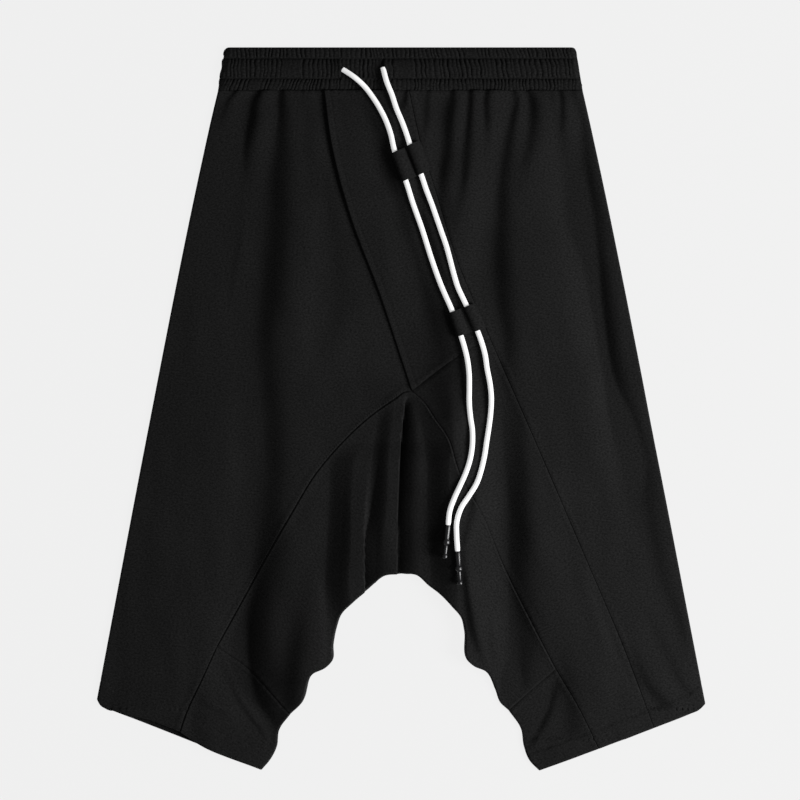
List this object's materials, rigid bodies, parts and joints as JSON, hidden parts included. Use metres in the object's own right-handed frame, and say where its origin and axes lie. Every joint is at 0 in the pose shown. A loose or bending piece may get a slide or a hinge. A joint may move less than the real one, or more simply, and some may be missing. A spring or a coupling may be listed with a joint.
{
  "type": "drop-crotch cotton shorts",
  "caption": "Black drop-crotch cotton jersey shorts laid flat, with a gathered elastic waistband, slanted panels, a pleated crotch gusset and a white drawcord through cloth tabs.",
  "frame": {"origin": "on the surface that the shorts lie on, under the middle of the outline", "axes": "+Z out of the front of the garment, +Y towards the waist, +X towards the wearer's left"},
  "size_m": [0.6076, 0.7225, 0.0205],
  "materials": {
    "cotton_jersey": "matte black cotton French terry",
    "ribbed_band": "matte black jersey gathered over elastic",
    "cotton_cord": "matte white braided cotton",
    "moulded_tip": "glossy black moulded plastic"
  },
  "bodies": {
    "root": {"waistband_front_right": "ribbed_band", "waistband_front_centre": "ribbed_band", "waistband_front_left": "ribbed_band", "waistband_back": "ribbed_band", "front_right": "cotton_jersey", "front_centre": "cotton_jersey", "front_left": "cotton_jersey", "front_left_inner": "cotton_jersey", "gusset": "cotton_jersey", "leg_inner_right": "cotton_jersey", "leg_inner_left": "cotton_jersey", "back_right": "cotton_jersey", "back_left": "cotton_jersey", "tab_upper": "cotton_jersey", "tab_lower": "cotton_jersey", "cord_right": "cotton_cord", "cord_left": "cotton_cord", "cord_tip_right": "moulded_tip", "cord_tip_left": "moulded_tip"}
  },
  "joints": []
}
